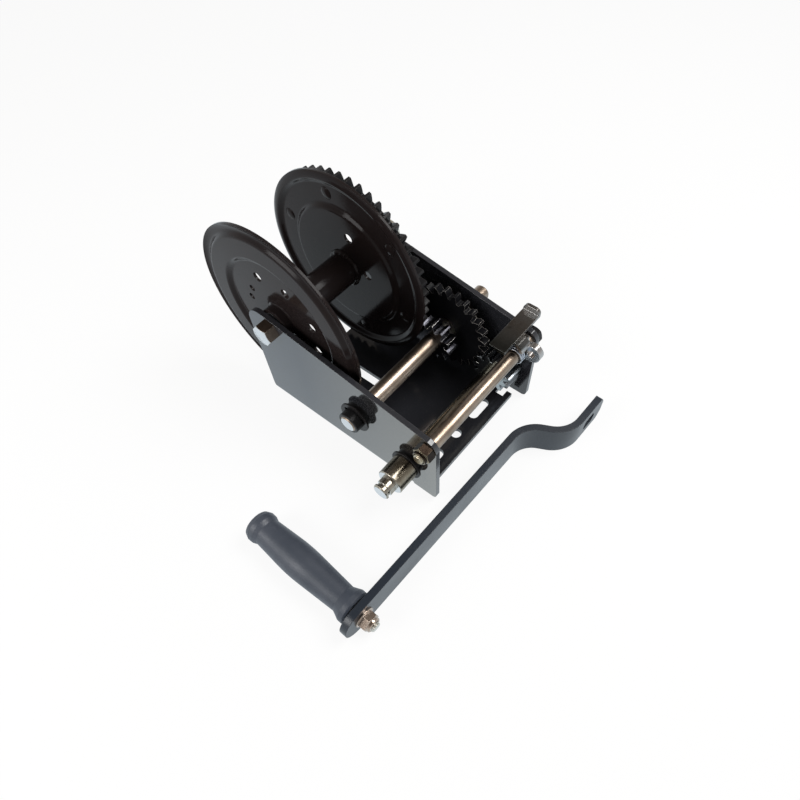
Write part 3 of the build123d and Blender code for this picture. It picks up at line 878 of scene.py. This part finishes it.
# %% Axle bolt and nut
M12, M12_PITCH, M12_FLATS = 0.006, 0.00175, 0.019
AXLE_HEAD, AXLE_THREAD = 0.012, 0.022
low, high = box_of("drum_axle_bolt")
length = high.x - low.x
head = hexagon("head", M12_FLATS, 0.0, AXLE_HEAD, turn=8, both_ends=False)
axle = bolt("axle_bolt", head, M12, M12_PITCH, length - AXLE_THREAD, length)
axis = middle_of("drum_core")
seat(axle, (low.x, axis.y, axis.z))
hand_over(axle, "drum_axle_bolt", "frame", axle_zinc)
low, high = box_of("drum_axle_nut")
piece = nut("axle_nut", M12_FLATS, high.x - low.x, M12, turn=20)
seat(piece, (low.x, axis.y, axis.z))
hand_over(piece, "drum_axle_nut", "frame", hardware_zinc)

# %% [markdown]
# ### Tie bolt
# An M10 bolt ties the plates together at the front, with a lock nut on the crank's side. Its head is
# black and the rest is zinc. A second piece could carry the black, but a second material slot on the
# head's faces is enough.

# %% Tie bolt and nut
M10, M10_PITCH, M10_FLATS = 0.005, 0.0015, 0.016
TIE_HEAD, HEAD_MARGIN, TIE_THREAD, LOCK_COLLAR = 0.0065, 0.0002, 0.03, 0.0027
low, high = box_of("tie_bolt")
axis = middle_of("tie_spacer")
length = high.x - low.x
head = hexagon("head", M10_FLATS, 0.0, TIE_HEAD, turn=-12, both_ends=False)
tie = bolt("tie_bolt_threaded", head, M10, M10_PITCH, length - TIE_THREAD, length)
seat(tie, (high.x, axis.y, axis.z), pi)
hand_over(tie, "tie_bolt", "frame", tie_zinc)
tie.data.materials.append(gear_black)
for face in tie.data.polygons:
    face.material_index = int(face.center.x > high.x - TIE_HEAD - HEAD_MARGIN)
low, high = box_of("tie_nut")
lock_height = high.x - low.x
piece = nut("tie_nut_chamfered", M10_FLATS, lock_height, M10, turn=12, collar=LOCK_COLLAR)
seat(piece, (low.x, axis.y, axis.z))
hand_over(piece, "tie_nut", "frame", nut_bronze_painted_shade)

# %% [markdown]
# ### Gear rivets
# Six rivets hold the gear to its flange. One is turned with a domed head, then copied round the drum's
# axis. An Array modifier would need an empty object as its pivot, so each copy is simply turned in edit
# mode.

# %% Rivets
RIVETS, RIVET_RING, RIVET_FIRST, RIVET_SIDES = 6, 0.0745, radians(20), 40
RIVET_STEM = 0.0039
DOME = [(0.0, 0.0010), (0.0002, 0.0030), (0.0006, 0.0045), (0.0011, 0.0056), (0.0014, 0.0060)]
DOME_BACK = 0.00145
low, high = box_of("gear_rivets")
axis = middle_of("drum_core")
rivet = turned("rivet", DOME + [(DOME_BACK, RIVET_STEM), (high.x - low.x, RIVET_STEM)], RIVET_SIDES)
seat(rivet, (low.x, axis.y + RIVET_RING * cos(RIVET_FIRST), axis.z + RIVET_RING * sin(RIVET_FIRST)))
copies = [rivet]
drum_axis = (0, axis.y, axis.z)
for i in range(1, RIVETS):
    choose(rivet)
    bpy.ops.object.duplicate()
    copies.append(bpy.context.object)
    edit_all()
    bpy.ops.transform.rotate(value=-2 * pi * i / RIVETS, orient_axis="X", center_override=drum_axis)
    back_to_object()
choose(*copies)
bpy.ops.object.join()
rivets = keep("gear_rivets_domed")
hand_over(rivets, "gear_rivets", "drum", drum_black)

# %% [markdown]
# ### Weld beads
# The core is welded to both flanges from inside. A bead is a ring of overlapping drops. Modelling each
# drop would be slow, so a torus gives the ring and a Displace modifier with a cloud texture makes its
# surface uneven. The solids have no such piece, so it replaces none.

# %% Weld beads
BEAD, DROPS, UNEVEN = 0.0032, 0.005, 0.0016
low, high = box_of("drum_core")
axis = middle_of("drum_core")
drops = bpy.data.textures.new("weld_drops", "CLOUDS")
drops.noise_scale = DROPS
rings = []
for x in (box_of("drum_flange_left")[1].x, box_of("drum_flange_right")[0].x):
    begin()
    bpy.ops.mesh.primitive_torus_add(
        major_segments=96, minor_segments=14, major_radius=(high.z - low.z) / 2, minor_radius=BEAD,
        location=(x, axis.y, axis.z), rotation=(0, pi / 2, 0))
    bpy.ops.object.transform_apply(location=True, rotation=True, scale=True)
    rings.append(keep("ring"))
    modify(rings[-1], "DISPLACE", texture=drops, texture_coords="LOCAL", strength=UNEVEN, mid_level=0.5)
choose(*rings)
bpy.ops.object.join()
beads = keep("drum_weld_beads")
hand_over(beads, None, "drum", drum_black)

# %% [markdown]
# ### Grip bolt
# The grip turns on a bolt that is fixed in the crank's arm by a lock nut on a thin washer. The crank lies
# a little askew. Its angle could be written down again, but it is safer to read it from the solids: the
# line from the nut's middle to the washer's middle is the bolt's axis.

# %% Grip bolt and nut
SEAT_ABOVE, TIP_BELOW, GRIP_BOLT, GRIP_THREAD = 0.0042, 0.0100, 0.1437, 0.03
BUTTON = [(0, 0.0045), (0.0012, 0.0068), (0.0026, 0.008), (0.005, 0.008)]
WASHER, WASHER_EDGE, WASHER_THICK, WASHER_ROUND = 0.0100, 0.0097, 0.0014, 0.0003
nut_middle = middle_of("grip_nut")
axis = middle_of("grip_washer") - nut_middle
turn = Vector((1, 0)).angle_signed(axis.xy) * -1
along = Vector((cos(turn), sin(turn), 0))
tip = nut_middle - along * TIP_BELOW
head = turned("head", BUTTON)
piece = bolt("grip_bolt_threaded", head, M10, M10_PITCH, GRIP_BOLT - GRIP_THREAD, GRIP_BOLT)
seat(piece, tip + along * GRIP_BOLT, turn + pi)
hand_over(piece, "grip_bolt", "crank", hardware_zinc)
piece = nut("grip_nut_chamfered", M10_FLATS, lock_height, M10, turn=20, collar=LOCK_COLLAR)
rim = lock_height - WASHER_THICK
washer = turned("washer", [(rim, WASHER_EDGE), (rim + WASHER_ROUND, WASHER), (lock_height, WASHER)])
cut(piece, washer, "UNION")
seat(piece, nut_middle + along * (SEAT_ABOVE - lock_height), turn)
hand_over(piece, "grip_nut", "crank", nut_copper)

# %% [markdown]
# ### The pawl's spring
# A torsion spring: a coil round the tie spacer and two straight legs. A curve with a round bevel would
# do, but a small circle carried round the axis by the Screw modifier, three turns of it, is a mesh at
# once. Its two open ends are then drawn out into the legs and closed.

# %% Pawl spring
WIRE, WIRE_SIDES, COIL_STEPS = 0.0009, 16, 64
COIL, COIL_START, COIL_PITCH, COIL_TURNS = 0.0086, 0.0479, 0.0024, 3
LEG_UP, LEG_DOWN = 0.01715, 0.010
ON_PLANE, NEAR_END = 1e-6, 1.1 * WIRE
END_INSET, END_DOME = 0.3 * WIRE, 0.25 * WIRE
begin()
bpy.ops.mesh.primitive_circle_add(vertices=WIRE_SIDES, radius=WIRE)
coil = keep("pawl_coil")
edit_all()
bpy.ops.transform.translate(value=(COIL_START, COIL, 0))
back_to_object()
modify(coil, "SCREW", axis="X", screw_offset=COIL_PITCH, iterations=COIL_TURNS, steps=COIL_STEPS,
       render_steps=COIL_STEPS, use_merge_vertices=True, merge_threshold=SCREW_SEAM)
slope = Vector((COIL_PITCH / 2 / pi, 0, COIL)).normalized()
for end_x, leg in ((COIL_START, -LEG_DOWN), (COIL_START + COIL_PITCH * COIL_TURNS, LEG_UP)):
    bpy.ops.object.mode_set(mode="EDIT")
    bpy.ops.mesh.select_all(action="DESELECT")
    back_to_object()
    for v in coil.data.vertices:
        v.select = abs(v.co.z) < ON_PLANE and v.co.y > 0 and abs(v.co.x - end_x) < NEAR_END
    bpy.ops.object.mode_set(mode="EDIT")
    bpy.ops.mesh.extrude_region_move(TRANSFORM_OT_translate={"value": slope * leg})
    bpy.ops.mesh.edge_face_add()
    bpy.ops.mesh.inset(thickness=END_INSET, depth=END_DOME)
clean_up()
axis = middle_of("tie_spacer")
seat(coil, (0, axis.y, axis.z))
hand_over(coil, "pawl_spring", "pawl", bright_steel)
